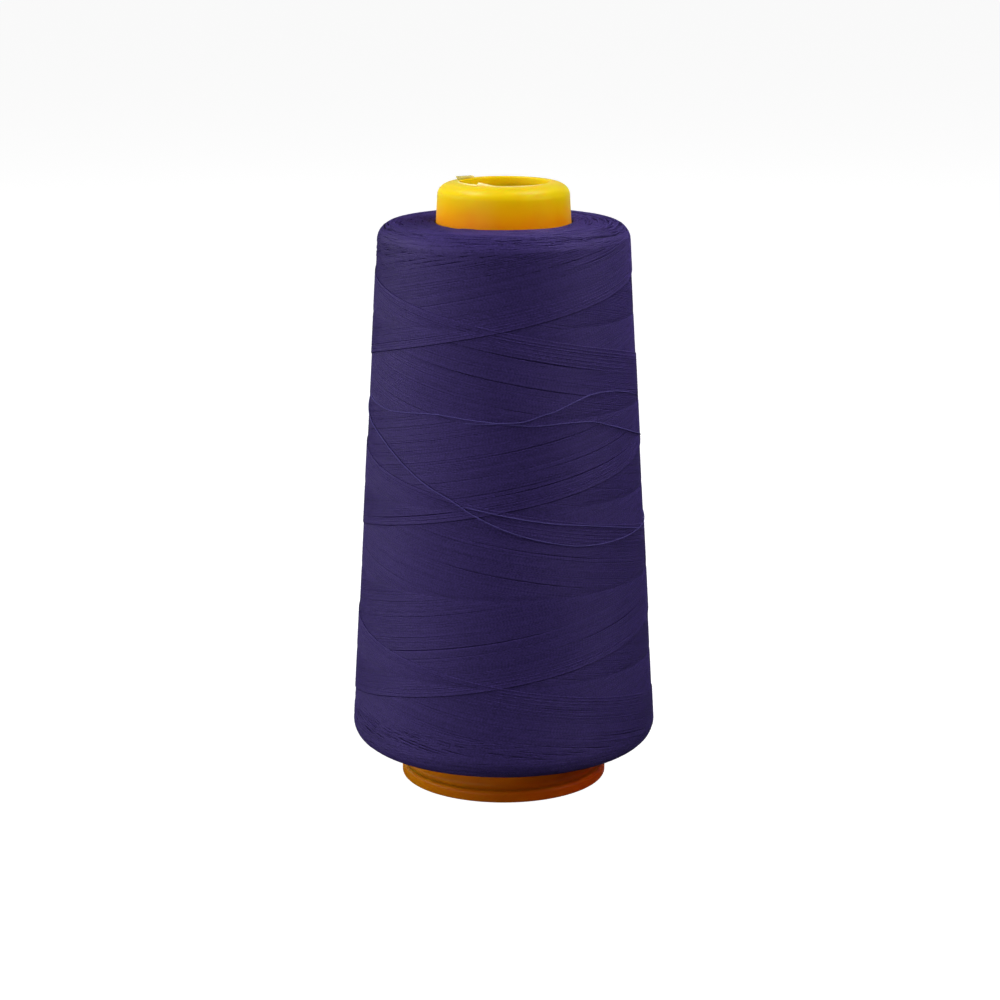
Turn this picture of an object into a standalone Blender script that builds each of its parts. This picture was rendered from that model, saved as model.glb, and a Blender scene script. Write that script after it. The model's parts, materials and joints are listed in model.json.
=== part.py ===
"""A cone of sewing thread: a moulded yellow cone, and the thread cross-wound on it.

Run with: blender --background --python part.py
Metres, +Z up. The origin is on the axis, at the plane that the foot stands on. The front faces -Y.
"""

import math

import bmesh
import bpy

MM = 0.001

# Driving dimensions.
HEIGHT = 170.0 * MM
HALF_ANGLE = math.radians(3.15)
PIECE_CLEARANCE = 0.3 * MM

# The moulded cone, named from the top down. Its nose curls over into a short collar round the mouth.
CONE_STEPS = 72
WALL = 1.6 * MM
MOUTH_RADIUS = 12.3 * MM
MOUTH_LIP = 0.5 * MM
NOSE_RADIUS = 18.3 * MM
NOSE_CORNER_HEIGHT = 3.8 * MM
NOSE_SQUARENESS = 2.25
COLLAR_DEPTH = 13.0 * MM
FOOT_RADIUS = 29.5 * MM
FOOT_HEIGHT = 3.4 * MM
FOOT_EDGE = 0.9 * MM
FOOT_INNER_CHAMFER = 0.5 * MM

# The wound package, whose side tapers a little more than the cone.
PACKAGE_STEPS = 84
SIDE_ROWS = 40
PACKAGE_TOP = 159.1 * MM
PACKAGE_BOTTOM = 10.9 * MM
SHOULDER_RADIUS = 35.0 * MM
SHOULDER_CORNER = 5.0 * MM
BASE_RADIUS = 43.1 * MM
BASE_CORNER = 5.5 * MM
END_FACE_DIP = 0.3 * MM

# The cross-winding. A turn climbs one pitch, to the right and to the left by turns, and the last
# turns laid cross at the front at this height. Beside each, the newest turns stand proud and the
# oldest lie low: above the turn that climbs to the right, and below the one that climbs to the left.
WINDING_PITCH = 48.4 * MM
CROSSING_HEIGHT = 37.4 * MM
TWIST_RELIEF = 0.3 * MM
TWIST_EDGE = 7.0 * MM

THREAD_COLOUR = (0.043, 0.030, 0.115, 1.0)
CONE_COLOUR = (0.86, 0.50, 0.012, 1.0)


def clear_scene():
    for obj in list(bpy.data.objects):
        bpy.data.objects.remove(obj)


def cone_radius(height):
    """Outer radius of the moulded cone's straight wall."""
    below_corner = HEIGHT - NOSE_CORNER_HEIGHT - height
    return NOSE_RADIUS + below_corner * math.tan(HALF_ANGLE)


def arc(centre_radius, centre_height, radius, start_deg, end_deg, steps):
    """Points (radius, height) on a round corner, from one angle to another."""
    points = []
    for step in range(steps + 1):
        angle = math.radians(start_deg + (end_deg - start_deg) * step / steps)
        points.append(
            (centre_radius + radius * math.cos(angle), centre_height + radius * math.sin(angle))
        )
    return points


def nose_curve(start_radius, width, height, steps):
    """Points on the nose's squared quarter oval, from its side up to its top."""
    points = []
    for step in range(steps + 1):
        angle = 0.5 * math.pi * step / steps
        across = max(0.0, math.cos(angle)) ** (2.0 / NOSE_SQUARENESS)
        up = math.sin(angle) ** (2.0 / NOSE_SQUARENESS)
        corner_height = HEIGHT - NOSE_CORNER_HEIGHT
        points.append((start_radius + width * across, corner_height + height * up))
    return points


def spin_profile(profile, steps):
    """A closed profile of (radius, height) points, spun round Z into one closed mesh."""
    shape = bmesh.new()
    points = [shape.verts.new((radius, 0.0, height)) for radius, height in profile]
    edges = [
        shape.edges.new((point, points[(index + 1) % len(points)]))
        for index, point in enumerate(points)
    ]
    bmesh.ops.spin(
        shape,
        geom=points + edges,
        cent=(0.0, 0.0, 0.0),
        axis=(0.0, 0.0, 1.0),
        angle=math.tau,
        steps=steps,
        use_merge=True,
    )
    bmesh.ops.recalc_face_normals(shape, faces=shape.faces)
    return shape


def add_node(name, shape, material, sharp_deg):
    mesh = bpy.data.meshes.new(name)
    shape.to_mesh(mesh)
    shape.free()
    mesh.shade_smooth()
    mesh.set_sharp_from_angle(angle=math.radians(sharp_deg))
    mesh.materials.append(material)
    node = bpy.data.objects.new(name, mesh)
    bpy.context.scene.collection.objects.link(node)
    return node


def principled(name, colour, roughness):
    material = bpy.data.materials.new(name)
    material.use_nodes = True
    shader = material.node_tree.nodes["Principled BSDF"]
    shader.inputs["Base Color"].default_value = colour
    shader.inputs["Roughness"].default_value = roughness
    shader.inputs["Metallic"].default_value = 0.0
    return material


# ---- The moulded cone -------------------------------------------------------------------------


def cone_outside():
    """From the foot's underside, up the outer wall and over the nose to the mouth's lip."""
    edge_radius = FOOT_RADIUS - FOOT_EDGE
    foot = [(edge_radius, 0.0)]
    foot += arc(edge_radius, FOOT_EDGE, FOOT_EDGE, -50, 0, 2)
    foot += arc(edge_radius, FOOT_HEIGHT - FOOT_EDGE, FOOT_EDGE, 0, 90, 3)
    wall = [(cone_radius(FOOT_HEIGHT), FOOT_HEIGHT)]
    lip_radius = MOUTH_RADIUS + MOUTH_LIP
    nose = nose_curve(lip_radius, NOSE_RADIUS - lip_radius, NOSE_CORNER_HEIGHT, 9)
    lip = arc(lip_radius, HEIGHT - MOUTH_LIP, MOUTH_LIP, 90, 180, 3)[1:]
    return foot + wall + nose + lip


def cone_inside():
    """Down the collar, up its back, round the hollow of the nose and down the inner wall."""
    collar_foot = HEIGHT - COLLAR_DEPTH
    collar_back = MOUTH_RADIUS + WALL
    hollow_width = NOSE_RADIUS - WALL - collar_back
    collar = [(MOUTH_RADIUS, collar_foot), (collar_back, collar_foot)]
    hollow = nose_curve(collar_back, hollow_width, NOSE_CORNER_HEIGHT - WALL, 5)[::-1]
    wall = [
        (cone_radius(FOOT_INNER_CHAMFER) - WALL, FOOT_INNER_CHAMFER),
        (cone_radius(0.0) - WALL + FOOT_INNER_CHAMFER, 0.0),
    ]
    return collar + hollow + wall


def build_cone(material):
    shape = spin_profile(cone_outside() + cone_inside(), CONE_STEPS)
    return add_node("cone", shape, material, 40)


# ---- The wound thread -------------------------------------------------------------------------


def package_radius(height):
    """Outer radius of the winding's side, before its relief."""
    side_top = PACKAGE_TOP - SHOULDER_CORNER
    side_bottom = PACKAGE_BOTTOM + BASE_CORNER
    share = (side_top - height) / (side_top - side_bottom)
    return SHOULDER_RADIUS + (BASE_RADIUS - SHOULDER_RADIUS) * share


def proud_share(distance):
    """From 0.5 on the newest turn, evenly down over a pitch, then up at the next turn's edge."""
    beyond_turn = distance % WINDING_PITCH
    slope_length = WINDING_PITCH - TWIST_EDGE
    if beyond_turn < slope_length:
        return 0.5 - beyond_turn / slope_length
    return -0.5 * math.cos(math.pi * (beyond_turn - slope_length) / TWIST_EDGE)


def winding_relief(azimuth, height):
    """How far the wound surface stands proud, by azimuth from the front and height."""
    climb = WINDING_PITCH * azimuth / math.tau
    above_crossing = height - CROSSING_HEIGHT
    rightward = proud_share(above_crossing - climb)
    leftward = proud_share(-climb - above_crossing)
    return TWIST_RELIEF * (rightward + leftward)


def package_profile():
    """From the base end beside the cone, round the base, up the side and in over the shoulder."""
    top_inner = cone_radius(PACKAGE_TOP) + PIECE_CLEARANCE
    bottom_inner = cone_radius(PACKAGE_BOTTOM) + PIECE_CLEARANCE
    side_top = PACKAGE_TOP - SHOULDER_CORNER
    side_bottom = PACKAGE_BOTTOM + BASE_CORNER
    shoulder_inner = SHOULDER_RADIUS - SHOULDER_CORNER
    base = [(bottom_inner, PACKAGE_BOTTOM + END_FACE_DIP)]
    base += arc(BASE_RADIUS - BASE_CORNER, side_bottom, BASE_CORNER, -90, 0, 5)
    side = []
    for row in range(1, SIDE_ROWS):
        height = side_bottom + (side_top - side_bottom) * row / SIDE_ROWS
        side.append((package_radius(height), height))
    shoulder = arc(shoulder_inner, side_top, SHOULDER_CORNER, 0, 90, 5)
    top_face = [
        (top_inner + 0.3 * (shoulder_inner - top_inner), PACKAGE_TOP),
        (top_inner, PACKAGE_TOP - END_FACE_DIP),
    ]
    return base + side + shoulder + top_face


def raise_twists(shape):
    """Push the side's points out by the winding's relief, fading to nothing over each rim."""
    side_top = PACKAGE_TOP - SHOULDER_CORNER
    side_bottom = PACKAGE_BOTTOM + BASE_CORNER
    for point in shape.verts:
        radius = math.hypot(point.co.x, point.co.y)
        height = point.co.z
        beyond_side = max(height - side_top, side_bottom - height, 0.0)
        share = 1.0 - beyond_side / SHOULDER_CORNER
        if share <= 0.0 or radius < 0.8 * SHOULDER_RADIUS:
            continue
        azimuth = math.atan2(point.co.x, -point.co.y)
        spread = 1.0 + share * winding_relief(azimuth, height) / radius
        point.co.x *= spread
        point.co.y *= spread


def build_package(material):
    shape = spin_profile(package_profile(), PACKAGE_STEPS)
    raise_twists(shape)
    return add_node("thread_package", shape, material, 50)


def main():
    clear_scene()
    build_cone(principled("yellow_polypropylene", CONE_COLOUR, 0.32))
    build_package(principled("spun_polyester_thread", THREAD_COLOUR, 0.75))


main()
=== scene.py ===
"""A cone of sewing thread: a moulded yellow cone and the thread cross-wound on it.

Laid out as an add-on and run as a script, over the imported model's frame.
Metres, +Z up. The origin is on the axis, at the plane that the foot stands on. The front faces -Y.
"""

import json
import math
from types import SimpleNamespace

import bmesh
import bpy
from bpy.props import FloatProperty, FloatVectorProperty, IntProperty, PointerProperty
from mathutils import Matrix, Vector, noise

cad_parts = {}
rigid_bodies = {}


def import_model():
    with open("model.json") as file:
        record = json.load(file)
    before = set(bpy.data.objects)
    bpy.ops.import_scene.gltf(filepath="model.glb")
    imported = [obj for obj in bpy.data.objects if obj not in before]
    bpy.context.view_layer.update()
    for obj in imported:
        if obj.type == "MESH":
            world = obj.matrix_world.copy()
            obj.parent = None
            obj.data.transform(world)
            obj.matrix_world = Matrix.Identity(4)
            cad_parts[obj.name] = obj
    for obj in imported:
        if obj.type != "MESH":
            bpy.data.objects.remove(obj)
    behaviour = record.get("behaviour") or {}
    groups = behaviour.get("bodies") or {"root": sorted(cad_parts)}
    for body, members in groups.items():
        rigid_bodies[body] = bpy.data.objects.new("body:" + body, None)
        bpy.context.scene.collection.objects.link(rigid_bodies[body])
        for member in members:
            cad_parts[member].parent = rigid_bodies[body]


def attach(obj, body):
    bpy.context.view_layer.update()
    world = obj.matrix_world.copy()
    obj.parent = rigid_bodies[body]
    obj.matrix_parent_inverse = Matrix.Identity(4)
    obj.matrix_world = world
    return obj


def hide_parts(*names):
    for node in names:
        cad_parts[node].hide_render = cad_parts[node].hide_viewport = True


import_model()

bl_info = {
    "name": "Sewing Thread Cone",
    "version": (1, 0, 0),
    "blender": (4, 5, 0),
    "location": "View3D > Sidebar > Thread Cone",
    "description": "Builds a moulded cone wound with sewing thread, and a plain studio round it",
    "category": "Add Mesh",
}

BODY = "root"
MM = 0.001
WHITE = (1.0, 1.0, 1.0, 1.0)


# ---- Colours and sizes that a user would change --------------------------------------------------


def linear(code):
    """A linear colour with alpha, from an sRGB hex code."""
    channels = []
    for start in (1, 3, 5):
        value = int(code[start : start + 2], 16) / 255
        channels.append(value / 12.92 if value <= 0.04045 else ((value + 0.055) / 1.055) ** 2.4)
    return (*channels, 1.0)


def length(name, description, default_mm):
    return FloatProperty(
        name=name, description=description, default=default_mm * MM, min=0.0, unit="LENGTH",
        subtype="DISTANCE", precision=4,
    )


def angle_size(name, description, default):
    return FloatProperty(name=name, description=description, default=default, subtype="ANGLE")


def count(name, description, default, low=0):
    return IntProperty(name=name, description=description, default=default, min=low)


def colour(name, description, code):
    return FloatVectorProperty(
        name=name, description=description, default=linear(code), size=4, min=0.0, max=1.0,
        subtype="COLOR",
    )


class ConeSizes(bpy.types.PropertyGroup):
    """The moulded cone, named from the top down."""

    height: length("Height", "From the foot's underside to the top of the nose", 170.0)
    half_angle: angle_size("Half angle", "From the axis to the straight wall", math.radians(3.15))
    wall: length("Wall", "Thickness of the moulding", 1.6)
    mouth_radius: length("Mouth radius", "Inside the collar, where the spool pin goes in", 12.3)
    mouth_lip: length("Mouth lip", "Rounding of the mouth's upper edge", 0.5)
    nose_radius: length("Nose radius", "Outside, just below the nose's round corner", 18.3)
    nose_corner: length("Nose corner", "Height of the nose's round corner", 3.8)
    nose_squareness: FloatProperty(
        name="Nose squareness", description="2 is an oval corner, and more is a squarer one",
        default=2.25, min=2.0, max=6.0,
    )
    collar_depth: length("Collar depth", "How far the mouth's collar reaches down", 13.0)
    foot_radius: length("Foot radius", "Outside of the foot's flange", 29.2)
    foot_height: length("Foot height", "Thickness of the foot's flange", 3.4)
    foot_edge: length("Foot edge", "Rounding of the flange's edges", 0.9)
    steps: count("Steps", "Faces round the cone", 192, 24)


class WindingSizes(bpy.types.PropertyGroup):
    """The wound package and its turns."""

    top: length("Top", "Height of the package's top face", 159.1)
    bottom: length("Bottom", "Height of the package's underside", 10.9)
    shoulder_radius: length("Shoulder radius", "Where the side meets the upper rim", 35.0)
    shoulder_corner: length("Shoulder corner", "Rounding of the upper rim", 5.0)
    base_radius: length("Base radius", "Where the side meets the lower rim", 43.1)
    base_corner: length("Base corner", "Rounding of the lower rim", 5.5)
    pitch: length("Pitch", "Climb of the thread in one turn", 48.4)
    crossing_height: length("Crossing height", "Where the last turns cross at the front", 37.4)
    low_reversal: length("Low reversal", "Where the thread turns back near the base", 13.2)
    high_reversal: length("High reversal", "Where it turns back on the shoulder", 158.4)
    relief: length("Relief", "How far the newest turns stand over the oldest", 0.22)
    strand_radius: length("Strand radius", "Thread, a little thicker than the real 0.13 mm", 0.18)
    strands: count("Strands", "Laid turns side by side in one pitch, an even number", 200, 8)
    strand_steps: count("Strand steps", "Segments along one laid strand", 240, 24)
    seed: count("Seed", "Start of every random choice", 7)


class EndSizes(bpy.types.PropertyGroup):
    """The short level runs over both ends of the package."""

    runs: count("Runs", "How many lie over each end", 1250, 8)
    strand_steps: count("Run steps", "Segments along one run", 18, 4)
    shortest: angle_size("Shortest", "Half the shortest run's way round", 0.18)
    longest: angle_size("Longest", "Half the longest run's way round", 0.8)
    side_depth: length("Side depth", "How far they reach down the side", 7.0)
    dive: length("Dive", "How far their ends dip under the runs beside them", 0.35)


class ConeColours(bpy.types.PropertyGroup):
    """The dyed thread, the coloured plastic and the studio floor."""

    thread: colour("Thread", "Dyed polyester thread", "#392d63")
    thread_deep: colour("Deep thread", "Thread in the darker strands", "#261e45")
    # Painted highlight: the loose strands are painted paler for the light that they catch.
    thread_loose: colour("Loose thread", "Loose strands, which catch more light", "#423b6f")
    plastic: colour("Plastic", "Cone moulding at the nose, thin and lit", "#ffd006")
    # Painted shade: these two are the lit nose's plastic, shaded down towards the thread.
    plastic_middle: colour("Middle plastic", "Cone moulding on the nose's side", "#ffb204")
    plastic_deep: colour("Deep plastic", "Cone moulding beside the thread", "#f88e02")
    # Painted shade: these two are the plastic in the shade under the package, deeper to the right.
    plastic_foot: colour("Foot plastic", "Cone moulding at the foot's yellower left", "#a66505")
    plastic_foot_red: colour("Red foot plastic", "Cone moulding at the foot's right", "#ae3603")
    flash: colour("Flash", "Torn, thin plastic at the mouth", "#fff3a8")
    # Painted shade: the strip of flash that bends out at the left is painted duller.
    flash_left: colour("Left flash", "The same, duller, where it bends out at the left", "#bfae48")
    floor: colour("Floor", "Studio floor", "#989898")


class ThreadConeSettings(bpy.types.PropertyGroup):
    """All settings of the thread cone."""

    cone: PointerProperty(type=ConeSizes)
    winding: PointerProperty(type=WindingSizes)
    ends: PointerProperty(type=EndSizes)
    slack_radius: length("Slack radius", "Half the thickness of a loose strand", 0.17)
    colours: PointerProperty(type=ConeColours)


def values_of(group):
    """A property group's values by name."""
    return {name: getattr(group, name) for name in group.__annotations__}


def link_object(name, data):
    """A new object in the scene, with this data."""
    linked = bpy.data.objects.new(name, data)
    bpy.context.scene.collection.objects.link(linked)
    return linked


# ---- Node tools ----------------------------------------------------------------------------------


def feed(tree, socket, value):
    """Links a field to an input, or sets the input to a plain value."""
    if isinstance(value, Field):
        tree.links.new(value.socket, socket)
    else:
        socket.default_value = value


def add_node(tree, kind, inputs=None, output=0, **settings):
    """Adds a node with its settings made and its inputs fed, and gives one of its outputs."""
    node = tree.nodes.new(kind)
    for name, value in settings.items():
        setattr(node, name, value)
    for key, value in (inputs or {}).items():
        feed(tree, node.inputs[key], value)
    return Field(tree, node.outputs[output])


def through(operation, turned=False):
    """A method that puts a field through a sum, as its last number where turned."""

    def summed(self, *others):
        numbers = (*others, self) if turned else (self, *others)
        inputs = dict(enumerate(numbers))
        return add_node(self.tree, "ShaderNodeMath", inputs, operation=operation)

    return summed


class Field:
    """An output in a node tree, so that a formula with it reads as one."""

    def __init__(self, tree, socket):
        self.tree = tree
        self.socket = socket

    __add__ = through("ADD")
    __sub__ = through("SUBTRACT")
    __rsub__ = through("SUBTRACT", turned=True)
    __mul__ = through("MULTIPLY")
    __rmul__ = through("MULTIPLY", turned=True)
    __truediv__ = through("DIVIDE")
    absolute = through("ABSOLUTE")
    sign = through("SIGN")
    fraction = through("FRACT")
    root = through("SQRT")
    exponential = through("EXPONENT")
    sine = through("SINE")
    cosine = through("COSINE")
    at_least = through("MAXIMUM")
    at_most = through("MINIMUM")

    def beside(self, output):
        """Another output of the same node."""
        return Field(self.tree, self.socket.node.outputs[output])


# These three work on plain numbers as well as on fields, so that a shape has one formula.


def clipped(value, low=0.0, high=1.0):
    if isinstance(value, Field):
        return value.at_least(low).at_most(high)
    return min(high, max(low, value))


def fallen(share):
    """How far a round corner has dropped, where this share of it is passed, from 0 to 1."""
    left = 1.0 - share * share
    return 1.0 - (left.root() if isinstance(left, Field) else math.sqrt(left))


def place_round(azimuth, radius, height):
    """A place by its azimuth from the front, its radius and its height."""
    if isinstance(azimuth, Field):
        x, y = radius * azimuth.sine(), radius * azimuth.cosine() * -1.0
        return add_node(azimuth.tree, "ShaderNodeCombineXYZ", {0: x, 1: y, 2: height})
    return Vector((radius * math.sin(azimuth), -radius * math.cos(azimuth), height))


def input_title(key):
    return key.replace("_", " ").title()


def new_tree(name, values):
    """A geometry tree with a named input for each value, and its inputs as fields."""
    tree = bpy.data.node_groups.new(name, "GeometryNodeTree")
    tree.interface.new_socket("Geometry", in_out="INPUT", socket_type="NodeSocketGeometry")
    for key, value in values.items():
        kind = "NodeSocket" + {int: "Int", float: "Float"}.get(type(value), "Material")
        tree.interface.new_socket(input_title(key), in_out="INPUT", socket_type=kind)
    tree.interface.new_socket("Geometry", in_out="OUTPUT", socket_type="NodeSocketGeometry")
    given = add_node(tree, "NodeGroupInput")
    size = {key: given.beside(input_title(key)) for key in ("geometry", *values)}
    return tree, SimpleNamespace(**size)


def grow(name, tree, values, source=None):
    """The plain mesh that a tree makes from a source mesh, with its inputs set to these values."""
    holder = link_object(name, source or bpy.data.meshes.new(name + "_seed"))
    modifier = holder.modifiers.new(name, "NODES")
    modifier.node_group = tree
    by_title = {input_title(key): value for key, value in values.items()}
    for item in tree.interface.items_tree:
        if item.name in by_title:
            modifier[item.identifier] = by_title[item.name]
    graph = bpy.context.evaluated_depsgraph_get()
    made = bpy.data.meshes.new_from_object(
        holder.evaluated_get(graph), preserve_all_data_layers=True, depsgraph=graph
    )
    bpy.data.objects.remove(holder)
    if not made.polygons:
        raise RuntimeError(f"{name} came out of its tree with no faces")
    return made


def waver(tree, x, y, z, detail):
    """Smooth noise, from about -0.5 to 0.5."""
    place = add_node(tree, "ShaderNodeCombineXYZ", {0: x, 1: y, 2: z})
    return add_node(
        tree, "ShaderNodeTexNoise", {"Vector": place, "Scale": 1.0, "Detail": detail}
    ) - 0.5


def numbered_strands(tree, size, amount, every=1.0, first=0.0):
    """Strands, their numbers, the share of the way along them, and their random choices."""
    line = add_node(tree, "GeometryNodeCurvePrimitiveLine", {"End": (1.0, 0.0, 0.0)})
    fine = add_node(tree, "GeometryNodeResampleCurve", {"Curve": line, "Count": size.strand_steps})
    copies = add_node(
        tree, "GeometryNodeDuplicateElements", {"Geometry": fine, "Amount": amount},
        domain="SPLINE",
    )
    # A strand's number is kept on its points, because later nodes lose the count.
    counted = copies.beside(1) * every + first
    kept = {"Geometry": copies, "Name": "strand", "Value": counted}
    strands = add_node(tree, "GeometryNodeStoreNamedAttribute", kept)
    number = add_node(tree, "GeometryNodeInputNamedAttribute", {"Name": "strand"})
    share = add_node(tree, "GeometryNodeSplineParameter", output="Factor")

    def chance(low, high, draw):
        """A random number for each strand, with other ones for another draw."""
        inputs = {2: low, 3: high, 7: number, 8: size.seed + draw}
        return add_node(tree, "FunctionNodeRandomValue", inputs, 1, data_type="FLOAT")

    return strands, number, share, chance


def spin_strands(curves, size, tone, start, sides, section, outward):
    """Makes curves closed tubes of thread, marked for their dye and twist.

    The section is its height and width, in shares of the strand's radius.
    """
    tree = curves.tree
    walked = add_node(tree, "GeometryNodeSplineParameter", output="Length")
    for name, value in (("tone", tone), ("along", walked + start)):
        kept = {"Geometry": curves, "Name": name, "Value": value}
        curves = add_node(tree, "GeometryNodeStoreNamedAttribute", kept)
    upright = add_node(
        tree, "GeometryNodeSetCurveNormal", {"Curve": curves, "Normal": outward}, mode="FREE"
    )
    round_section = {"Resolution": sides, "Radius": 1.0}
    circle = add_node(tree, "GeometryNodeCurvePrimitiveCircle", round_section)
    high, wide = (size.strand_radius * share for share in section)
    flattened = add_node(tree, "ShaderNodeCombineXYZ", {0: high, 1: wide, 2: 1.0})
    profile = add_node(tree, "GeometryNodeTransform", {"Geometry": circle, "Scale": flattened})
    tubes = add_node(
        tree, "GeometryNodeCurveToMesh",
        {"Curve": upright, "Profile Curve": profile, "Fill Caps": True},
    )
    smooth = add_node(tree, "GeometryNodeSetShadeSmooth", {"Geometry": tubes})
    real = add_node(tree, "GeometryNodeRealizeInstances", {"Geometry": smooth})
    dyed = add_node(tree, "GeometryNodeSetMaterial", {"Geometry": real, "Material": size.material})
    feed(tree, tree.nodes.new("NodeGroupOutput").inputs[0], dyed)
    return tree


# ---- Materials -----------------------------------------------------------------------------------


def new_material(name, *grains):
    """A material, its tree, its place on the piece, and a noise there for each (scale, detail)."""
    material = bpy.data.materials.new(name)
    material.use_nodes = True
    tree = material.node_tree
    place = add_node(tree, "ShaderNodeTexCoord", output="Object")
    noises = (
        add_node(
            tree, "ShaderNodeTexNoise", {"Vector": place, "Scale": scale, "Detail": detail}
        )
        for scale, detail in grains
    )
    return material, tree, place, *noises


def finish(material, inputs, colours=None, relief=None):
    """Feeds the shader's inputs and gives the material. Plain values are set on the input itself.

    The colours are (share, first, second), and the relief is (height, depth in mm, strength).
    """
    tree = material.node_tree
    if colours:
        colours = dict(zip((0, 6, 7), colours))
        inputs["Base Color"] = add_node(tree, "ShaderNodeMix", colours, 2, data_type="RGBA")
    if relief:
        height, depth_mm, strength = relief
        relief = {"Height": height, "Distance": depth_mm * MM, "Strength": strength}
        inputs["Normal"] = add_node(tree, "ShaderNodeBump", relief)
    for name, value in inputs.items():
        feed(tree, tree.nodes["Principled BSDF"].inputs[name], value)
    return material


def scaled(shade, share):
    """A colour with its channels scaled, and its alpha kept at 1."""
    return (*(min(1.0, share * channel) for channel in shade[:3]), 1.0)


def thread_material(name, deep, pale):
    """Spun polyester: soft, with a dull sheen, the plies' twist, and strands that vary a little."""
    # Dye takes unevenly over about two centimetres, and fuzz mottles it at half a millimetre.
    material, tree, _, patches, fuzz = new_material(name, (55.0, 2.0), (1700.0, 2.0))
    tone, along = (
        add_node(tree, "ShaderNodeAttribute", output="Fac", attribute_name=kept)
        for kept in ("tone", "along")
    )
    # The real twist repeats each 0.5 mm. It is drawn at 0.9 mm, so that it doesn't turn to flicker.
    twist = (along * (math.tau / (0.9 * MM))).sine()
    share = tone * 0.35 + patches * 0.3 + fuzz * 1.8 + twist * 0.25 - 0.72
    inputs = {
        "Roughness": fuzz * 0.14 + 0.43,
        "Specular IOR Level": 0.34,
        "Specular Tint": (0.47, 0.35, 1.0, 1.0),
    }
    return finish(material, inputs, (share, deep, pale), (fuzz + twist * 0.25, 0.05, 0.5))


def under_thread_material(colours):
    """The layers under the last turns, seen only in the gaps: its thread and lines in painted
    shade.
    """
    material, tree, place = new_material("spun_polyester_under_layers")
    mapped = add_node(tree, "ShaderNodeMapping", {"Vector": place, "Scale": (60.0, 60.0, 2600.0)})
    lines = add_node(tree, "ShaderNodeTexNoise", {"Vector": mapped, "Scale": 1.0})
    inputs = {"Roughness": lines * 0.2 + 0.6, "Specular IOR Level": 0.2}
    # Painted shade: the deep thread colour, and darker still along its lines.
    shades = (lines, scaled(colours.thread_deep, 0.65), colours.thread_deep)
    return finish(material, inputs, shades, (lines, 0.2, 0.8))


def plastic_material(colours, sizes, winding):
    """Moulded polypropylene: waxy yellow, in painted shade beside the dark thread and on the foot.
    """
    # The pigment clouds over about a centimetre, and the mould's grain is about a millimetre.
    material, tree, place, cloud, grain = new_material(
        "yellow_polypropylene", (90.0, 3.0), (900.0, 2.0)
    )
    x = add_node(tree, "ShaderNodeSeparateXYZ", {0: place})
    y, height = x.beside(1), x.beside(2)
    wander = (cloud - 0.5) * (3.0 * MM)
    # Painted light: light comes through round the nose's sides, so it stays yellow further down.
    sideways = (x * x) * (1.0 * MM / sizes.nose_radius**2)
    by_height = add_node(
        tree, "ShaderNodeValToRGB", {0: (height + wander + sideways) / sizes.height}
    )
    rim, side = winding.top / sizes.height, (sizes.height - sizes.nose_corner) / sizes.height
    stops = by_height.socket.node.color_ramp.elements
    stops.new(0.5)
    # Painted shade: the ramp runs from the lit yellow at the nose to orange beside the thread.
    for stop, (position, shade) in zip(stops, (
        (rim + 0.006, colours.plastic_deep), (0.5 * (rim + side) + 0.01, colours.plastic_middle),
        (side + 0.012, colours.plastic),
    )):
        stop.position = position
        stop.color = shade
    # The collar round the mouth is thin, and all of it gets the lit nose's yellow: painted light
    # for the light that comes through its wall. The foot is painted dark as the shade under the
    # package, and its painted shade grows redder from left to right.
    from_axis = (x * x + y * y).root()
    collar = clipped((sizes.mouth_radius + 1.1 * MM - from_axis) / (0.4 * MM))
    across = clipped(x / (2.0 * sizes.foot_radius) + 0.5)
    up_foot = clipped((height + wander - 1.4 * sizes.foot_height) / (3.0 * sizes.foot_height))
    # Painted light: the collar takes the lit nose's yellow.
    upper = {0: collar, 6: by_height, 7: colours.plastic}
    upper = add_node(tree, "ShaderNodeMix", upper, 2, data_type="RGBA")
    # Painted shade on the foot, darker and redder from left to right.
    foot = {0: across, 6: colours.plastic_foot, 7: colours.plastic_foot_red}
    foot = add_node(tree, "ShaderNodeMix", foot, 2, data_type="RGBA")
    inputs = {
        "Roughness": cloud * 0.14 + 0.32,
        "Subsurface Weight": 0.6,
        "Subsurface Radius": (1.0, 0.55, 0.05),
        "Subsurface Scale": 4.0 * MM,
        "Specular IOR Level": 0.05,
        "IOR": 1.49,
        "Sheen Weight": 0.03,
        "Sheen Roughness": 0.35,
        "Sheen Tint": (1.0, 0.92, 0.7, 1.0),
    }
    # The mould's surface is slightly wavy, which breaks up the highlights.
    return finish(material, inputs, (up_foot, foot, upper), (cloud + grain * 0.08, 0.25, 0.5))


def flash_material(colours):
    """The same plastic torn thin: paler, and more matte where it was stretched."""
    material, tree, place, torn = new_material("yellow_polypropylene_flash", (1600.0, 3.0))
    shades = {0: torn, 6: colours.flash, 7: colours.plastic}
    base = add_node(tree, "ShaderNodeMix", shades, 2, data_type="RGBA")
    x = add_node(tree, "ShaderNodeSeparateXYZ", {0: place})
    # Painted shade: the strip that bends out at the left, behind the mouth, is painted duller.
    leftward = clipped((x * -1.0 - 7.5 * MM) / (2.0 * MM))
    backward = clipped((x.beside(1) + 1.0 * MM) / (1.0 * MM))
    inputs = {
        "Roughness": torn * 0.3 + 0.35,
        "Subsurface Weight": 0.3,
        "Subsurface Radius": (1.0, 0.8, 0.2),
        "Subsurface Scale": 1.0 * MM,
    }
    shades = (leftward * backward, base, colours.flash_left)
    return finish(material, inputs, shades, (torn, 0.1, 0.6))


def studio_paint(name, patch_scale, first, second, glow=0.0):
    """Matte paint on a studio surface, with the faintest unevenness."""
    material, _, _, patches = new_material(name, (patch_scale, 2.0))
    inputs = {
        "Roughness": 0.9,
        "Specular IOR Level": 0.1,
        "Emission Color": WHITE,
        "Emission Strength": glow,
    }
    return finish(material, inputs, (patches, first, second))


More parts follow.
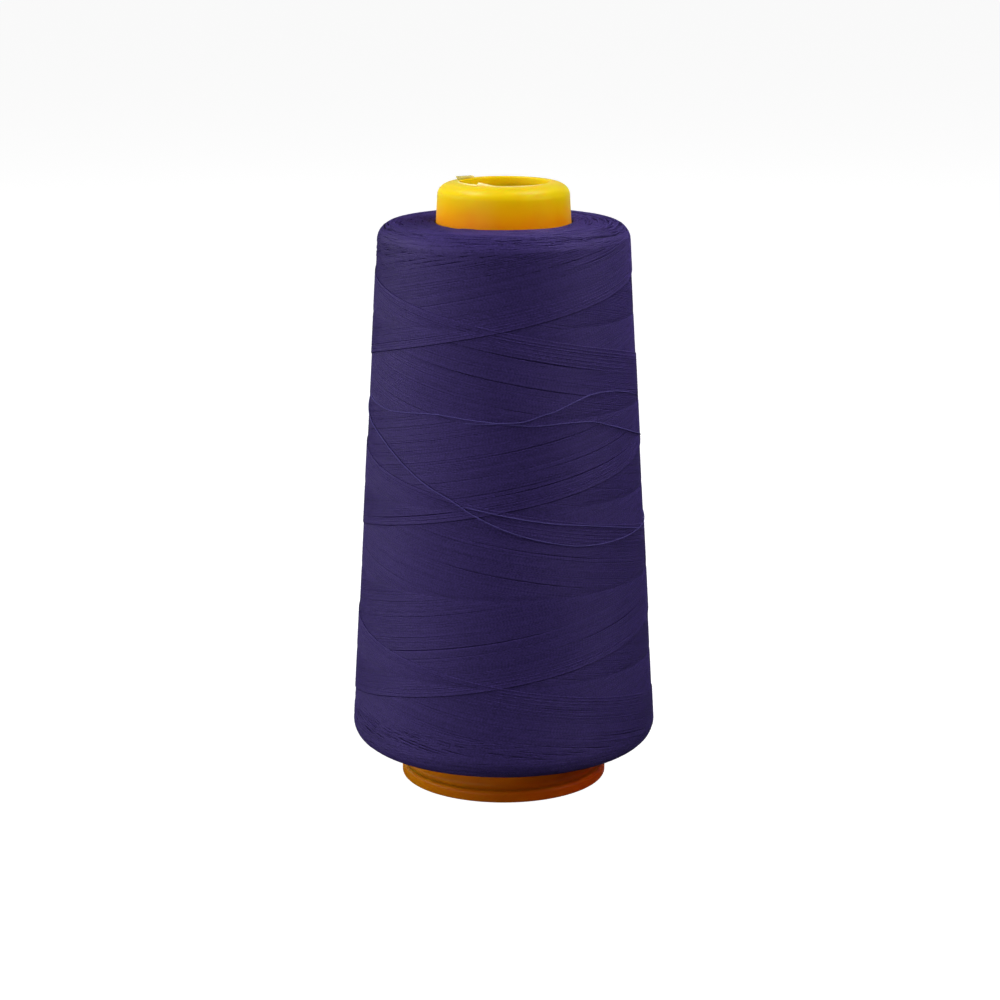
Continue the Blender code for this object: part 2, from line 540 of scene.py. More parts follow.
def glowing_paper(name, strength):
    """White paper, evenly lit from elsewhere."""
    return finish(new_material(name)[0], {
        "Base Color": (0.0, 0.0, 0.0, 1.0),
        "Emission Color": WHITE,
        "Emission Strength": strength,
        "Specular IOR Level": 0.0,
    })


# ---- Shared shapes -------------------------------------------------------------------------------


def add_piece(name, mesh, material, replaced=None):
    """Links a finished mesh as a piece of the object that rides on its one body."""
    piece = link_object(name, mesh)
    if not mesh.materials:
        mesh.materials.append(material)
    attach(piece, BODY)
    if replaced:
        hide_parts(replaced)
    return piece


def finished_mesh(name, shape, closed=False):
    """A plain mesh from a shape. A closed one has its faces turned outwards and smoothed."""
    if closed:
        bmesh.ops.recalc_face_normals(shape, faces=shape.faces)
    mesh = bpy.data.meshes.new(name)
    shape.to_mesh(mesh)
    shape.free()
    if closed:
        mesh.shade_smooth()
    return mesh


def azimuths(steps):
    return [math.tau * step / steps for step in range(steps)]


def join_rings(shape, pairs):
    """Faces from each ring of points to its partner."""
    for ring, above in pairs:
        for step in range(len(ring)):
            after = (step + 1) % len(ring)
            shape.faces.new((ring[step], ring[after], above[after], above[step]))


def closed_shell(name, rings):
    """A closed mesh through rings of places, where the last ring joins the first."""
    shape = bmesh.new()
    rings = [[shape.verts.new(place) for place in ring] for ring in rings]
    join_rings(shape, zip(rings, rings[1:] + rings[:1]))
    return finished_mesh(name, shape, closed=True)


def arc(centre_radius, centre_height, radius, start_deg, end_deg, steps):
    """Points (radius, height) on a round corner, from one angle to another."""
    points = []
    for step in range(steps + 1):
        angle = math.radians(start_deg + (end_deg - start_deg) * step / steps)
        points.append(
            (centre_radius + radius * math.cos(angle), centre_height + radius * math.sin(angle))
        )
    return points


def cone_radius(sizes, height):
    """Outer radius of the moulded cone's straight wall."""
    below_corner = sizes.height - sizes.nose_corner - height
    return sizes.nose_radius + below_corner * math.tan(sizes.half_angle)


def nose_curve(sizes, start_radius, width, height, steps):
    """Points on the nose's squared quarter oval, from its side up to its top."""
    points = []
    for step in range(steps + 1):
        angle = 0.5 * math.pi * step / steps
        across = max(0.0, math.cos(angle)) ** (2.0 / sizes.nose_squareness)
        up = math.sin(angle) ** (2.0 / sizes.nose_squareness)
        corner_height = sizes.height - sizes.nose_corner
        points.append((start_radius + width * across, corner_height + height * up))
    return points


# ---- The moulded cone ----------------------------------------------------------------------------


def moulded_profile(sizes):
    """Right round the moulding's section: foot, outer wall, nose, mouth, collar and hollow."""
    lower_edge, upper_edge = 0.6 * sizes.foot_edge, 1.4 * sizes.foot_edge
    profile = arc(sizes.foot_radius - lower_edge, lower_edge, lower_edge, -90, 0, 5)
    profile += arc(
        sizes.foot_radius - upper_edge, sizes.foot_height - upper_edge, upper_edge, 0, 90, 8
    )
    # A fillet between the flange and the wall.
    fillet = 1.5 * MM
    low = sizes.foot_height + fillet
    profile += arc(cone_radius(sizes, low) + fillet, low, fillet, -90, -180, 6)
    rows = 24
    high = sizes.height - sizes.nose_corner
    for row in range(1, rows):
        height = low + (high - low) * row / rows
        profile.append((cone_radius(sizes, height), height))
    lip = sizes.mouth_lip
    lip_radius = sizes.mouth_radius + lip
    profile += nose_curve(sizes, lip_radius, sizes.nose_radius - lip_radius, sizes.nose_corner, 22)
    profile += arc(lip_radius, sizes.height - lip, lip, 90, 180, 5)[1:]
    collar_foot, chamfer = sizes.height - sizes.collar_depth, 0.3 * MM
    collar_back = sizes.mouth_radius + sizes.wall
    profile += [
        (sizes.mouth_radius, collar_foot + chamfer), (sizes.mouth_radius + chamfer, collar_foot),
        (collar_back - chamfer, collar_foot), (collar_back, collar_foot + chamfer),
    ]
    hollow_width = sizes.nose_radius - sizes.wall - collar_back
    hollow = nose_curve(sizes, collar_back, hollow_width, sizes.nose_corner - sizes.wall, 8)
    foot_chamfer = 0.5 * MM
    return profile + hollow[::-1] + [
        (cone_radius(sizes, foot_chamfer) - sizes.wall, foot_chamfer),
        (cone_radius(sizes, 0.0) - sizes.wall + foot_chamfer, 0.0),
    ]


# The flash round the mouth, as (azimuth in degrees, height and inward lean in mm). A strip of it
# bends out at the left, and a torn tongue lies over the mouth's front left.
FLASH = (
    (-152.0, 0.0, 0.1), (-141.0, 0.15, 0.0), (-138.5, 0.75, -0.3), (-118.0, 0.95, -0.6),
    (-100.0, 1.3, -0.9), (-96.0, 0.5, -0.1), (-90.0, 0.32, 0.15), (-60.0, 0.36, 0.2),
    (-36.0, 0.4, 0.3), (-34.0, 1.05, 0.35), (-24.0, 0.8, 0.3), (-14.0, 0.42, 0.2),
    (-8.0, 0.27, 0.12), (30.0, 0.24, 0.1), (58.0, 0.2, 0.1), (66.0, 0.0, 0.1),
)
FLASH_STEPS = 218
# The fin's section, as (share of its height, which side of its middle).
FLASH_SECTION = ((0.0, 1.0), (0.55, 0.8), (1.0, 0.35), (1.0, -0.35), (0.55, -0.8), (0.0, -1.0))


def mouth_flash_mesh(sizes):
    """The ragged fin that the mould left round the left and front of the mouth."""
    half_thickness = 0.5 * 0.13 * MM
    base_radius = sizes.mouth_radius + 0.28 * MM
    base_height = sizes.height - 0.16 * MM
    shape = bmesh.new()
    rows = []
    for step in range(FLASH_STEPS + 1):
        degrees = FLASH[0][0] + (FLASH[-1][0] - FLASH[0][0]) * step / FLASH_STEPS
        for before, after in zip(FLASH, FLASH[1:]):
            if before[0] <= degrees <= after[0]:
                share = (degrees - before[0]) / (after[0] - before[0])
                tall, lean = (a + (b - a) * share for a, b in zip(before[1:], after[1:]))
        azimuth = math.radians(degrees)
        torn = 0.5 + 0.5 * noise.noise(Vector((azimuth * 31.0, 5.1, 2.0)))
        height = tall * (0.75 + 0.5 * torn) * MM
        row = []
        for share, side in FLASH_SECTION:
            radius = base_radius - lean * MM * share * share + side * half_thickness
            row.append(shape.verts.new(place_round(azimuth, radius, base_height + height * share)))
        rows.append(row)
    join_rings(shape, zip(rows, rows[1:]))
    shape.faces.new(rows[0])
    shape.faces.new(rows[-1][::-1])
    return finished_mesh("mouth_flash", shape, closed=True)


class THREADCONE_OT_moulding(bpy.types.Operator):
    """Build the moulded plastic cone and the flash left at its mouth"""

    bl_idname = "thread_cone.moulding"
    bl_label = "Moulded Cone"
    bl_options = {"REGISTER", "UNDO"}

    def execute(self, context):
        settings = context.scene.thread_cone
        turn = azimuths(settings.cone.steps)
        cone = closed_shell("moulded_cone", [
            [place_round(azimuth, radius, height) for azimuth in turn]
            for radius, height in moulded_profile(settings.cone)
        ])
        cone.set_sharp_from_angle(angle=math.radians(50))
        plastic = plastic_material(settings.colours, settings.cone, settings.winding)
        add_piece("moulded_cone", cone, plastic, "cone")
        flash = mouth_flash_mesh(settings.cone)
        add_piece("mouth_flash", flash, flash_material(settings.colours))
        return {"FINISHED"}


# ---- The wound thread ----------------------------------------------------------------------------


def section_at(sizes, height, limit=1.0):
    """The winding's outer radius at a height, before relief, and how its surface tilts there.

    The tilt is the sine of the surface's slope, up on the upper rim and down on the lower one.
    """
    side_top = sizes.top - sizes.shoulder_corner
    side_bottom = sizes.bottom + sizes.base_corner
    down = clipped((side_top - height) / (side_top - side_bottom))
    above = clipped((height - side_top) / sizes.shoulder_corner, 0.0, limit)
    below = clipped((side_bottom - height) / sizes.base_corner, 0.0, limit)
    radius = sizes.shoulder_radius + (sizes.base_radius - sizes.shoulder_radius) * down
    radius = radius - sizes.shoulder_corner * fallen(above)
    return radius - sizes.base_corner * fallen(below), above - below


def proud_share(sizes, distance):
    """From 0.5 on the newest turn, evenly down over a pitch, then up at the next turn's edge."""
    edge = 3.0 * MM
    beyond = distance % sizes.pitch
    slope = sizes.pitch - edge
    if beyond < slope:
        return 0.5 - beyond / slope
    return -0.5 * math.cos(math.pi * (beyond - slope) / edge)


def wound_point(sizes, azimuth, height, proud, late=0.0):
    """A point on the wound surface, by azimuth from the front, and how far it stands off it."""
    climb = sizes.pitch * azimuth / math.tau
    above = height - sizes.crossing_height
    radius, tilt = section_at(sizes, height)
    relief = proud_share(sizes, above - climb - late) + proud_share(sizes, -climb - above - late)
    lift = sizes.relief * relief * (1.0 - abs(tilt)) + proud
    radius += lift * math.sqrt(1.0 - tilt * tilt)
    return place_round(azimuth, radius, height + lift * tilt)


def under_layers_mesh(cone, sizes):
    """The body of the winding, a little inside its last turns."""
    clearance = 0.3 * MM
    depth = 0.4 * MM
    # It rises a little late behind each turn's edge, so that it stays under the turns.
    late = 3.0 * MM
    turn = azimuths(180)
    low, high = sizes.bottom + 0.05 * MM, sizes.top - 0.05 * MM
    rows = 104

    def plain_ring(radius, height):
        return [place_round(azimuth, radius, height) for azimuth in turn]

    underside = sizes.bottom + depth
    rings = [
        plain_ring(cone_radius(cone, underside) + clearance, underside + 0.3 * MM),
        plain_ring(sizes.base_radius - sizes.base_corner - 3.0 * MM, underside),
    ]
    for row in range(rows + 1):
        # The rows lie closer together towards both rims.
        share = 0.5 * (1.0 - math.cos(math.pi * (0.04 + 0.92 * row / rows)))
        height = low + (high - low) * share
        rings.append([wound_point(sizes, azimuth, height, -depth, late) for azimuth in turn])
    top_inner = cone_radius(cone, sizes.top)
    down_cone = sizes.top - 2.0 * MM
    rings += [
        plain_ring(sizes.shoulder_radius - sizes.shoulder_corner - 1.5 * MM, sizes.top - depth),
        plain_ring(top_inner + 3.0 * MM, sizes.top - depth),
        plain_ring(top_inner + clearance + 0.4 * MM, sizes.top - depth - 0.5 * MM),
        plain_ring(cone_radius(cone, down_cone) + clearance, down_cone),
    ]
    return closed_shell("wound_body", rings)


# Where neighbouring turns part and show as a dark line in the photograph, as (age, height in mm,
# how far along it shows in mm of climb, how far apart in strands).
RISING_LINES = (
    (0.098, 95.0, 6.0, 2.0), (0.118, 92.0, 5.0, 1.6), (0.270, 48.0, 4.5, 2.0),
    (0.045, 84.0, 4.0, 1.2), (0.190, 101.0, 4.0, 1.2), (0.330, 104.0, 3.0, 1.2),
    (0.160, 52.0, 4.0, 1.2),
)
FALLING_LINES = (
    (0.280, 120.0, 4.5, 2.0), (0.130, 126.0, 3.5, 1.8), (0.595, 107.0, 2.5, 1.6),
    (0.370, 67.0, 5.0, 2.0), (0.200, 74.0, 3.5, 1.2), (0.420, 113.0, 2.5, 1.4),
    (0.080, 31.0, 3.0, 1.2),
)

# A laid strand's section is a low roof, which its neighbours overlap so that only the ridge shows.
# That keeps each strand's shading soft, as on the real thread, which is finer than can be drawn.
# The short runs over the ends have a low roof too. Each is (height, width), in strand radii.
LAID_SECTION = (0.4, 1.6)
RUN_SECTION = (0.5, 1.4)
# The surface's tilt on a rim stops just short of level, where a strand would have no radius left.
NEARLY_LEVEL = 0.999


def laid_turns_tree(name, lines, values):
    """Turns that climb from one reversal to the other, laid side by side over one pitch."""
    tree, size = new_tree(name, values)
    # Each piece holds every second strand.
    strands, number, share, chance = numbered_strands(
        tree, size, size.strands / 2.0, every=2.0, first=size.first
    )
    # Each strand's corners are shifted along it, or else they would line up in level rows.
    share = clipped(share + chance(-0.5, 0.5, 5) / size.strand_steps)
    climb = size.high_reversal - size.low_reversal

    # Age is 0 for the newest strand, and 1 for the oldest. Strands bunch, and leave small gaps.
    bunch = waver(tree, number * 0.21, 3.7, share * 7.0, 2.0) * 0.8
    nominal = size.low_reversal + climb * share
    # A line pushes strands aside, and less so those some strands away from it.
    push_reach = 5.0
    for line_age, line_height, reach, opening in lines:
        from_line = number + 0.5 - size.strands * line_age
        along_it = (nominal - line_height * MM) / (reach * MM)
        push = (along_it * along_it * -1.0 - from_line.absolute() / push_reach).exponential()
        bunch = bunch + from_line.sign() * push * (0.5 * opening)
    age = ((number + 0.5 + chance(-0.3, 0.3, 0) + bunch) / size.strands).fraction()

    # Each end is eased round its reversal, which lies a little higher or lower each time.
    ease, end_reach = 0.022, 0.09
    at_start = ease - share.at_most(ease)
    at_end = ease - (1.0 - share).at_most(ease)
    eased = share + (at_start * at_start - at_end * at_end) / (2.0 * ease)
    near_start = 1.0 - (share / end_reach).at_most(1.0)
    near_end = 1.0 - ((1.0 - share) / end_reach).at_most(1.0)
    late = chance(0.0, 2.4 * MM, 1) * near_start * near_start
    early = chance(0.0, 1.8 * MM, 2) * near_end * near_end
    turns = size.direction * (nominal - size.crossing_height) / size.pitch - age
    azimuth = turns * math.tau
    # Neighbours wander together by a fraction of a millimetre.
    wander = waver(tree, share * 26.0, number * 0.2, size.direction * 5.3, 2.0) * (0.32 * MM)
    height = size.low_reversal + climb * eased + late - early + wander

    # The other family's age here decides which of the two lies on top. Of nearly the same age,
    # they lie level.
    same_age = 0.05
    other = (size.crossing_height - height) * size.direction / size.pitch
    other = (other - turns).fraction()
    on_top = clipped((other - age) / same_age, -1.0, 1.0)
    radius, tilt = section_at(size, height, NEARLY_LEVEL)
    relief = (1.0 - age - other + on_top * 0.5 - 0.5) * (1.0 - tilt.absolute() * 0.7)
    rough = chance(-0.01 * MM, 0.01 * MM, 3)
    # Among the newest turns every fourth lies over its neighbours, which shows as a comb of lines
    # a little to the right of the front.
    comb_age, comb_azimuth = 0.16, 0.45
    fourth = 1.0 - ((number / 4.0).fraction() * 8.0).at_most(1.0)
    newest = (1.0 - age / comb_age).at_least(0.0).root()
    rightward = ((azimuth - comb_azimuth).cosine() * 1.6 - 0.6).at_least(0.0)
    comb = fourth * newest * rightward * (0.06 - 0.01 * size.direction) * MM
    proud = size.relief * relief - size.strand_radius * LAID_SECTION[0] + rough + comb
    radius = radius + proud * (1.0 - tilt * tilt).root()
    spot = place_round(azimuth, radius, height + proud * tilt)
    placed = add_node(tree, "GeometryNodeSetPosition", {"Geometry": strands, "Position": spot})

    # The section's ridge looks straight out of the surface.
    x = add_node(
        tree, "ShaderNodeSeparateXYZ", {0: add_node(tree, "GeometryNodeInputPosition")}
    )
    y, height = x.beside(1), x.beside(2)
    tilt = section_at(size, height, NEARLY_LEVEL)[1]
    rise = tilt * (x * x + y * y).root()
    flat = (1.0 - tilt * tilt).root()
    outward = add_node(tree, "ShaderNodeCombineXYZ", {0: x * flat, 1: y * flat, 2: rise})
    tone = chance(0.0, 1.0, 4)
    return spin_strands(placed, size, tone, tone, 3, LAID_SECTION, outward)


def end_turns_tree(values):
    """Short level runs of thread round an end of the package, from its face over the rim."""
    tree, size = new_tree("end_turns", values)
    strands, _, share, chance = numbered_strands(tree, size, size.runs)
    across = share * 2.0 - 1.0
    middle = chance(0.0, math.tau, 0)
    reach = size.shortest + (size.longest - size.shortest) * chance(0.0, 1.0, 1)
    azimuth = middle + across * reach

    # The run's place on the section: in along the face, round the rim and down the side. The
    # runs thin out down the side, where they give way to the climbing turns.
    rim = size.corner * (0.5 * math.pi)
    whole = size.face_width + rim + size.side_depth
    start = chance(0.0, 1.0, 2)
    flat = (size.face_width + rim) / whole
    keep = (start - flat).at_least(0.0) / (1.0 - flat)
    start = start - (chance(0.0, 1.0, 3) - (1.0 - keep)).sign().at_least(0.0) * keep * 0.4
    lean = chance(-1.2 * MM, 1.2 * MM, 4)
    sway = waver(tree, azimuth * 2.2, start * 18.0, size.side * 7.0, 2.0) * (1.1 * MM)
    ripple = waver(tree, azimuth * 13.0, start * 12.0, size.side * 3.0, 1.0) * (1.3 * MM)
    run = (start * whole + lean * across * reach + sway + ripple).at_least(0.15 * MM)
    on_face = run.at_most(size.face_width)
    on_side = (run - size.face_width - rim).at_least(0.0)
    bend = (run - size.face_width).at_least(0.0).at_most(rim) / size.corner
    out, up = bend.sine(), bend.cosine()
    radius = size.inner_radius + on_face + size.corner * out + on_side * size.flare
    depth = size.corner * (1.0 - up) + on_side

    # The middle of each run lies on the surface, and its ends dive under its neighbours.
    ends = across.absolute()
    # They lie rougher over the top than over the base, and rougher on its right than on its left.
    uneven = clipped(azimuth.sine() * 0.8 + 0.75, 0.3, 1.0) * (size.side * 0.2 + 0.75)
    level = chance(-0.1 * MM, 0.04 * MM, 5) * uneven
    proud = level - size.dive * (ends * ends * ends) - size.strand_radius * RUN_SECTION[0]
    height = size.end_height + size.side * (proud * up - depth)
    spot = place_round(azimuth, radius + proud * out, height)
    placed = add_node(tree, "GeometryNodeSetPosition", {"Geometry": strands, "Position": spot})
    outward = place_round(azimuth, out, size.side * up)
    tone = chance(0.0, 1.0, 6)
    return spin_strands(placed, size, tone, tone, 3, RUN_SECTION, outward)


# Loose strands that the photograph shows, as (azimuth in degrees, height in mm, lift in mm).
SLACK_STRANDS = (
    (
        (-112.0, 113.5, -0.9), (-95.0, 110.0, -0.1), (-78.3, 105.9, 0.35), (-59.2, 101.6, 0.5),
        (-34.6, 92.7, 0.55), (-21.6, 88.8, 0.5), (-12.1, 85.1, 0.5), (-0.3, 81.2, 0.5),
        (12.6, 78.2, 0.5), (24.5, 76.2, 0.45), (31.6, 75.3, 0.45), (43.6, 74.8, 0.4),
        (60.8, 74.9, 0.35), (80.4, 75.6, 0.3), (98.0, 77.5, -0.1), (118.0, 80.5, -0.9),
    ),
    (
        (-96.0, 112.8, -0.9), (-75.5, 111.3, 0.1), (-63.3, 110.6, 0.3), (-53.2, 110.3, 0.35),
        (-43.0, 110.8, 0.3), (-28.5, 111.4, 0.3), (-14.9, 110.7, 0.4), (-3.4, 110.0, 0.5),
        (5.8, 109.4, 0.5), (13.2, 109.0, 0.45), (25.8, 109.2, 0.4), (39.5, 108.6, 0.35),
        (52.7, 106.0, 0.3), (72.7, 101.9, 0.2), (92.0, 98.5, -0.1), (110.0, 95.0, -0.9),
    ),
    (
        (-24.0, 109.6, -0.8), (-10.0, 109.6, 0.2), (-0.2, 110.0, 0.75), (8.3, 110.3, 0.7),
        (16.6, 111.9, 0.6), (21.0, 112.5, 0.6), (30.6, 114.7, 0.5), (39.9, 116.1, 0.35),
        (54.0, 115.6, 0.15), (72.5, 112.9, 0.1), (90.0, 109.5, -0.3), (104.0, 107.0, -0.9),
    ),
    (
        (-24.0, 88.0, -0.8), (-12.0, 86.6, 0.0), (-2.6, 85.3, 0.15), (15.9, 82.7, 0.2),
        (38.6, 80.1, 0.2), (58.0, 77.2, 0.15), (75.0, 74.3, 0.1), (95.0, 71.5, -0.8),
    ),
)


# The lifts above are those of strands hanging free. These ones lie closer.
SLACK_LIFT = 0.6


def slack_paths_mesh(sizes):
    """The loose strands' middles, as smooth runs of points on the wound surface."""
    shape = bmesh.new()
    for strand in SLACK_STRANDS:
        knots = [strand[0], *strand, strand[-1]]
        before = None
        for index in range(1, len(knots) - 2):
            first, second, third, fourth = knots[index - 1 : index + 3]
            steps = max(3, int(abs(third[0] - second[0]) / 2.0))
            for step in range(steps if index < len(knots) - 3 else steps + 1):
                t = step / steps
                azimuth, height, lift = (
                    0.5 * (2.0 * b + (c - a) * t + (2.0 * a - 5.0 * b + 4.0 * c - d) * t * t
                           + (3.0 * b - a - 3.0 * c + d) * t * t * t)
                    for a, b, c, d in zip(first, second, third, fourth)
                )
                lift = min(lift, SLACK_LIFT * lift)
                place = wound_point(sizes, math.radians(azimuth), height * MM, lift * MM)
                point = shape.verts.new(place)
                if before:
                    shape.edges.new((before, point))
                before = point
    return finished_mesh("slack_paths", shape)


def slack_turns_tree(values):
    """Round strands of thread along given paths."""
    tree, size = new_tree("slack_turns", values)
    paths = add_node(tree, "GeometryNodeMeshToCurve", {"Mesh": size.geometry})
    outward = add_node(tree, "GeometryNodeInputPosition")
    return spin_strands(paths, size, 1.0, 0.0, 8, (1.0, 1.0), outward)


class THREADCONE_OT_winding(bpy.types.Operator):
    """Build the wound body and the two families of laid turns over it"""

    bl_idname = "thread_cone.winding"
    bl_label = "Cross-wound Thread"
    bl_options = {"REGISTER", "UNDO"}

    def execute(self, context):
        settings = context.scene.thread_cone
        colours = settings.colours
        under = under_thread_material(colours)
        body = under_layers_mesh(settings.cone, settings.winding)
        add_piece("wound_body", body, under, "thread_package")
        thread = thread_material("spun_polyester_thread", colours.thread_deep, colours.thread)
        # Each family is two pieces, of every second strand, which keeps each of them light.
        for family, lines, direction in (
            ("rising_turns", RISING_LINES, 1.0), ("falling_turns", FALLING_LINES, -1.0),
        ):
            values = values_of(settings.winding) | {
                "first": 0, "direction": direction, "material": thread,
            }
            tree = laid_turns_tree(family, lines, values)
            for first, name in enumerate((family + "_even", family + "_odd")):
                add_piece(name, grow(name, tree, values | {"first": first}), thread)
        return {"FINISHED"}


class THREADCONE_OT_ends(bpy.types.Operator):
    """Build the level runs of thread over both ends of the package"""

    bl_idname = "thread_cone.ends"
    bl_label = "End Turns"
    bl_options = {"REGISTER", "UNDO"}

    def execute(self, context):
        settings = context.scene.thread_cone
        sizes = settings.winding
        thread = bpy.data.materials["spun_polyester_thread"]
        taper = (sizes.base_radius - sizes.shoulder_radius) / (sizes.top - sizes.bottom)
        tree = None
        for name, side, end, rim_radius, corner in (
            ("top_turns", 1.0, sizes.top, sizes.shoulder_radius, sizes.shoulder_corner),
            ("base_turns", -1.0, sizes.bottom, sizes.base_radius, sizes.base_corner),
        ):
            inner = cone_radius(settings.cone, end) + 0.45 * MM
            values = values_of(settings.ends) | {
                "side": side, "end_height": end, "inner_radius": inner,
                "face_width": rim_radius - corner - inner, "corner": corner,
                "flare": side * taper, "strand_radius": sizes.strand_radius,
                "seed": sizes.seed + 20, "material": thread,
            }
            tree = tree or end_turns_tree(values)
            add_piece(name, grow(name, tree, values), thread)
        return {"FINISHED"}


class THREADCONE_OT_slack(bpy.types.Operator):
    """Build the few loose strands that lie over the turns"""

    bl_idname = "thread_cone.slack"
    bl_label = "Slack Strands"
    bl_options = {"REGISTER", "UNDO"}

    def execute(self, context):
        settings = context.scene.thread_cone
        colours = settings.colours
        # Painted highlight: the loose strands are painted paler for the light that they catch.
        pale = thread_material("spun_polyester_loose_strands", colours.thread, colours.thread_loose)
        values = {"strand_radius": settings.slack_radius, "material": pale}
        paths = slack_paths_mesh(settings.winding)
        loose = grow("slack_turns", slack_turns_tree(values), values, paths)
        add_piece("slack_turns", loose, pale)
        return {"FINISHED"}


# ---- The studio ----------------------------------------------------------------------------------


# Soft panels round the object, as (name, azimuth and elevation in degrees, distance, width and
# height in metres, watts, whether it lights, whether it is seen in reflections, and the start of
# the only materials that get it). The photograph's light is strong from both sides, with a dark
# middle.
PLASTIC, THREAD = "yellow_polypropylene", "spun_polyester"
SOFTBOXES = (
    ("left_side_panel", -86.0, 18.0, 1.2, 0.7, 0.38, 8.0, True, True, None),
    ("left_low_panel", -42.0, 7.0, 1.2, 1.0, 0.38, 6.5, True, True, None),
    ("left_rear_panel", -125.0, 12.0, 1.2, 0.38, 0.38, 1.0, True, True, None),
    ("left_back_panel", -150.0, 35.0, 1.2, 0.38, 0.38, 0.9, True, False, None),
    ("left_hair_panel", -150.0, 55.0, 1.2, 0.38, 0.38, 1.3, True, False, None),
    ("right_key_panel", 60.0, 35.0, 1.2, 0.6, 0.38, 5.4, True, True, None),
    ("right_top_panel", 60.0, 75.0, 1.2, 0.38, 0.38, 4.1, True, False, None),
    ("right_side_panel", 75.0, 20.0, 1.2, 0.5, 0.38, 3.1, True, True, None),
    ("right_back_panel", 150.0, 45.0, 1.2, 0.38, 0.38, 1.2, True, False, None),
    # The reflections of these two strips are the highlights on the nose's shoulder.
    ("left_glint", -98.0, 60.0, 1.2, 0.55, 0.16, 26.0, False, True, PLASTIC),
    ("right_glint", 105.0, 65.0, 1.2, 0.5, 0.16, 19.0, False, True, PLASTIC),
    # These two lift the package's top face and its upper right edge.
    ("thread_top_panel", -80.0, 78.0, 1.2, 0.38, 0.38, 6.8, True, False, THREAD),
    ("thread_rim_panel", 108.0, 58.0, 0.18, 0.08, 0.08, 0.22, True, False, THREAD),
)
AIM_HEIGHT = 0.1


def add_softbox(name, azimuth_deg, elevation_deg, distance, width, height, power, lights, shines):
    """A soft area lamp, by its direction from the object. Azimuth 0 is the front, 90 the right."""
    elevation = math.radians(elevation_deg)
    direction = place_round(math.radians(azimuth_deg), math.cos(elevation), math.sin(elevation))
    data = bpy.data.lights.new(name, "AREA")
    data.shape = "RECTANGLE"
    data.size, data.size_y, data.energy = width, height, power
    lamp = link_object(name, data)
    lamp.location = Vector((0.0, 0.0, AIM_HEIGHT)) + direction * distance
    lamp.rotation_euler = (-direction).to_track_quat("-Z", "Y").to_euler()
    lamp.visible_camera = False
    lamp.visible_diffuse = lights
    lamp.visible_glossy = shines
    return lamp


def light_group(material_start):
    """A collection of the pieces in one kind of material, for a lamp that lights only them."""
    group = bpy.data.collections.new(material_start + "_pieces")
    for piece in bpy.context.scene.objects:
        if piece.type == "MESH" and piece.data.materials[0].name.startswith(material_start):
            group.objects.link(piece)
    return group


def add_stage(name, material, hidden_from, make_shape, **settings):
    """Adds a part of the studio, which isn't part of the object, and hides it from some rays."""
    shape = bmesh.new()
    make_shape(shape, **settings)
    mesh = finished_mesh(name, shape)
    mesh.materials.append(material)
    part = link_object(name, mesh)
    for rays in hidden_from:
        setattr(part, "visible_" + rays, False)
    return part


def create_disc(shape, radius, height):
    bmesh.ops.create_circle(shape, cap_ends=True, segments=96, radius=radius)
    bmesh.ops.translate(shape, verts=shape.verts, vec=(0.0, 0.0, height))


def create_card(shape, radius, half_width_deg, high):
    """A curved card that stands behind the object."""
    columns = []
    steps = 16
    for step in range(steps + 1):
        turn = math.radians(half_width_deg) * (2.0 * step / steps - 1.0)
        x, y = radius * math.sin(turn), radius * math.cos(turn)
        columns.append([shape.verts.new((x, y, z)) for z in (0.0, high)])
    for first, after in zip(columns, columns[1:]):
        shape.faces.new((first[0], after[0], after[1], first[1]))


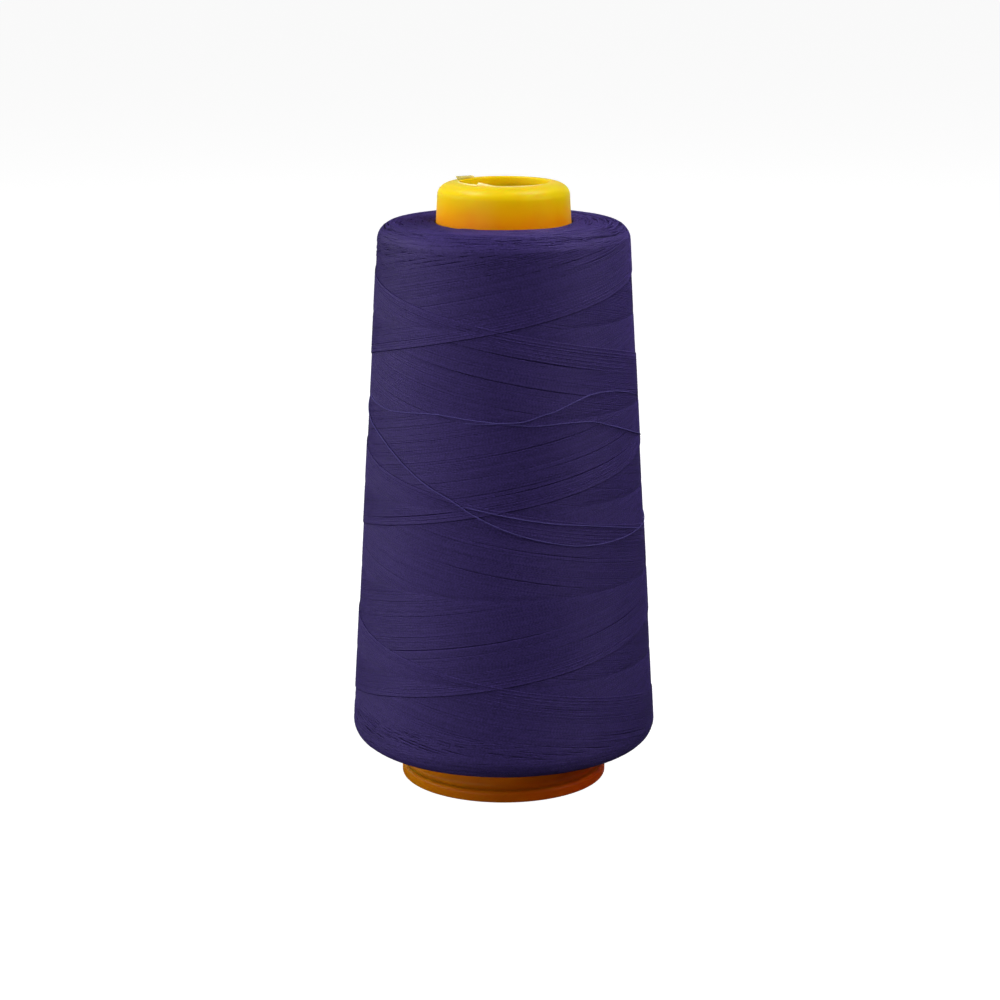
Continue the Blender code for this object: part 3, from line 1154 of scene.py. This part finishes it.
class THREADCONE_OT_studio(bpy.types.Operator):
    """Build the pale floor, the soft lights and the camera"""

    bl_idname = "thread_cone.studio"
    bl_label = "Studio"
    bl_options = {"REGISTER", "UNDO"}

    def execute(self, context):
        scene = context.scene
        scene.view_settings.view_transform = "Standard"

        # The floor is seen and takes shadows, but doesn't light the foot from below.
        pale = scene.thread_cone.colours.floor
        white = studio_paint("matte_studio_floor", 3.0, pale, scaled(pale, 1.01), glow=0.94)
        unlit = ("diffuse", "glossy")
        add_stage("studio_floor", white, unlit, create_disc, radius=6.0, height=0.0)
        # What the object gets from below is the light that a mid-grey table gives back.
        grey = studio_paint("grey_studio_table", 8.0, linear("#8c8c8c"), linear("#929292"))
        add_stage("studio_table", grey, ("camera",), create_disc, radius=2.0, height=-1.0 * MM)
        # The camera sees a plain white dome behind the floor, which lights nothing.
        paper = glowing_paper("white_studio_backdrop", 1.0)
        unlit = ("diffuse", "glossy", "shadow", "transmission", "volume_scatter")
        dome = bmesh.ops.create_uvsphere
        add_stage("studio_backdrop", paper, unlit, dome, u_segments=48, v_segments=24, radius=9.0)
        # The reflection of a white card behind the object pales the edges of the glossy nose.
        paper = glowing_paper("white_reflector_card", 0.5)
        card = add_stage(
            "studio_back_card", paper, ("camera", "shadow", "diffuse"), create_card,
            radius=1.2, half_width_deg=50.0, high=1.3,
        )

        world = bpy.data.worlds.new("studio_world")
        world.use_nodes = True
        sky = world.node_tree.nodes["Background"]
        sky.inputs["Color"].default_value = WHITE
        sky.inputs["Strength"].default_value = 0.02
        scene.world = world
        groups = {start: light_group(start) for start in (PLASTIC, THREAD)}
        card.light_linking.receiver_collection = groups[PLASTIC]
        for *softbox, only in SOFTBOXES:
            lamp = add_softbox(*softbox)
            if only:
                lamp.light_linking.receiver_collection = groups[only]

        # The lens, its shift and the camera's place were fitted to the photograph's outline.
        data = bpy.data.cameras.new("photo_camera")
        data.lens, data.sensor_width = 93.08, 36.0
        data.shift_x, data.shift_y = -0.0036, -0.0154
        data.clip_start, data.clip_end = 0.01, 50.0
        looking_down = 0.2318
        camera = link_object("photo_camera", data)
        camera.location = (0.0, -0.7105, 0.2521)
        camera.rotation_euler = (0.5 * math.pi - looking_down, 0.0, 0.0)
        scene.camera = camera
        return {"FINISHED"}


# ---- Panel, registration and run -----------------------------------------------------------------


OPERATORS = (
    THREADCONE_OT_moulding, THREADCONE_OT_winding, THREADCONE_OT_ends, THREADCONE_OT_slack,
    THREADCONE_OT_studio,
)


class THREADCONE_PT_sidebar(bpy.types.Panel):
    """Lists the thread cone's pieces and settings"""

    bl_idname = "THREADCONE_PT_sidebar"
    bl_label = "Thread Cone"
    bl_space_type = "VIEW_3D"
    bl_region_type = "UI"
    bl_category = "Thread Cone"

    def draw(self, context):
        settings = context.scene.thread_cone
        for operator in OPERATORS:
            self.layout.operator(operator.bl_idname)
        self.layout.prop(settings, "slack_radius")
        for group in (settings.cone, settings.winding, settings.ends, settings.colours):
            box = self.layout.box()
            for name in values_of(group):
                box.prop(group, name)


CLASSES = (
    ConeSizes, WindingSizes, EndSizes, ConeColours, ThreadConeSettings, *OPERATORS,
    THREADCONE_PT_sidebar,
)


def register():
    for listed in CLASSES:
        bpy.utils.register_class(listed)
    bpy.types.Scene.thread_cone = PointerProperty(type=ThreadConeSettings)


def unregister():
    del bpy.types.Scene.thread_cone
    for listed in reversed(CLASSES):
        bpy.utils.unregister_class(listed)


def main():
    """Builds every piece in order."""
    register()
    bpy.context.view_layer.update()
    bpy.ops.thread_cone.moulding()
    bpy.ops.thread_cone.winding()
    bpy.ops.thread_cone.ends()
    bpy.ops.thread_cone.slack()
    bpy.ops.thread_cone.studio()


if __name__ == "__main__":
    main()
